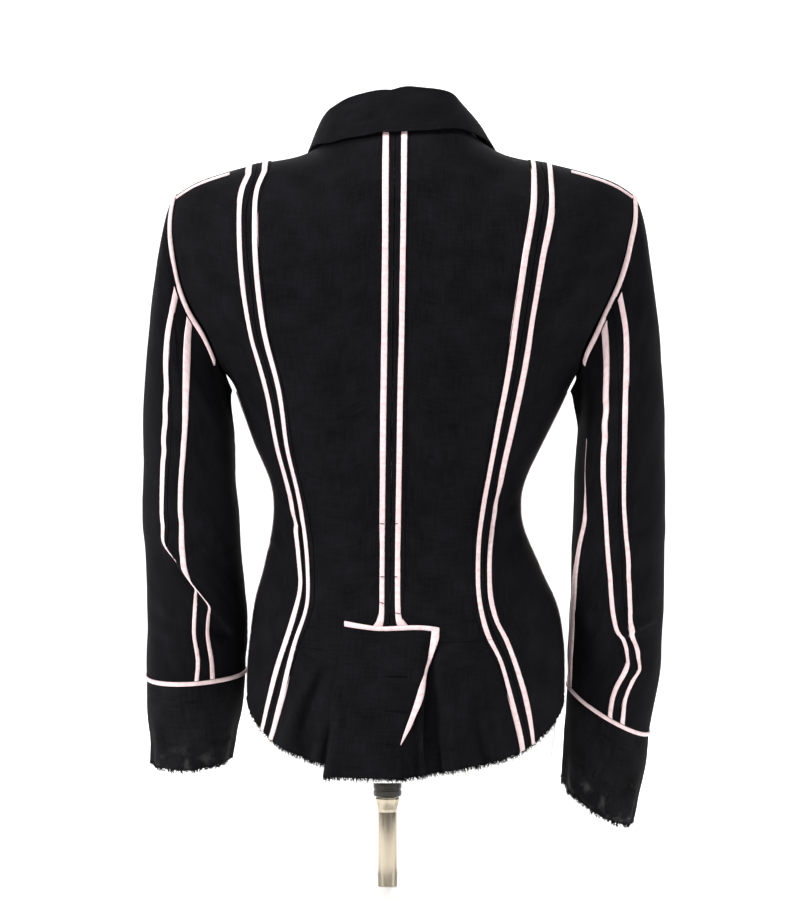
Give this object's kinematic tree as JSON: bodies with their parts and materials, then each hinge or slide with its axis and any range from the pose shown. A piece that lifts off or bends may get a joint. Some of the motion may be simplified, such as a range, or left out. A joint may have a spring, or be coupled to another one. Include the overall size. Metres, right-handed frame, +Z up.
{
  "type": "blazer on a limbless dress form",
  "caption": "Fitted black linen blazer with pale satin taped seams, flared lower back and long sleeves, on a plain torso form with a short stand.",
  "frame": {"origin": "middle of the base plate's underside, on the pole's axis", "axes": "+Z up along the pole; the blazer's back faces -Y and its front +Y; +X is the wearer's right"},
  "size_m": [0.4697, 0.28, 0.7231],
  "materials": {
    "linen": "matt plain-weave linen",
    "satin_tape": "satin tape",
    "button": "polished",
    "form_cover": "fine jersey cover",
    "chrome": "polished",
    "dark_metal": "satin black",
    "base_paint": "white powder coat"
  },
  "bodies": {
    "root": {"back_left": "linen", "back_right": "linen", "side_left": "linen", "side_right": "linen", "front_left": "linen", "front_right": "linen", "lapel_left": "linen", "lapel_right": "linen", "peplum_left": "linen", "peplum_right": "linen", "sleeve_top_left": "linen", "sleeve_top_right": "linen", "sleeve_under_left": "linen", "sleeve_under_right": "linen", "cuff_left": "linen", "cuff_right": "linen", "vent_flap": "linen", "collar": "linen", "tape_centre_left": "satin_tape", "tape_centre_right": "satin_tape", "tape_princess_back_left": "satin_tape", "tape_princess_back_right": "satin_tape", "tape_princess_side_left": "satin_tape", "tape_princess_side_right": "satin_tape", "tape_peplum_left": "satin_tape", "tape_peplum_right": "satin_tape", "tape_side_left": "satin_tape", "tape_side_right": "satin_tape", "tape_shoulder_left": "satin_tape", "tape_shoulder_right": "satin_tape", "tape_armhole_left": "satin_tape", "tape_armhole_right": "satin_tape", "tape_sleeve_top_left": "satin_tape", "tape_sleeve_top_right": "satin_tape", "tape_sleeve_under_left": "satin_tape", "tape_sleeve_under_right": "satin_tape", "tape_sleeve_front_left": "satin_tape", "tape_sleeve_front_right": "satin_tape", "tape_cuff_left": "satin_tape", "tape_cuff_right": "satin_tape", "tape_flap_top": "satin_tape", "tape_flap_edge": "satin_tape", "button_1": "button", "button_2": "button", "button_3": "button", "form": "form_cover", "clamp": "dark_metal", "pole": "chrome", "base": "base_paint"}
  },
  "joints": []
}
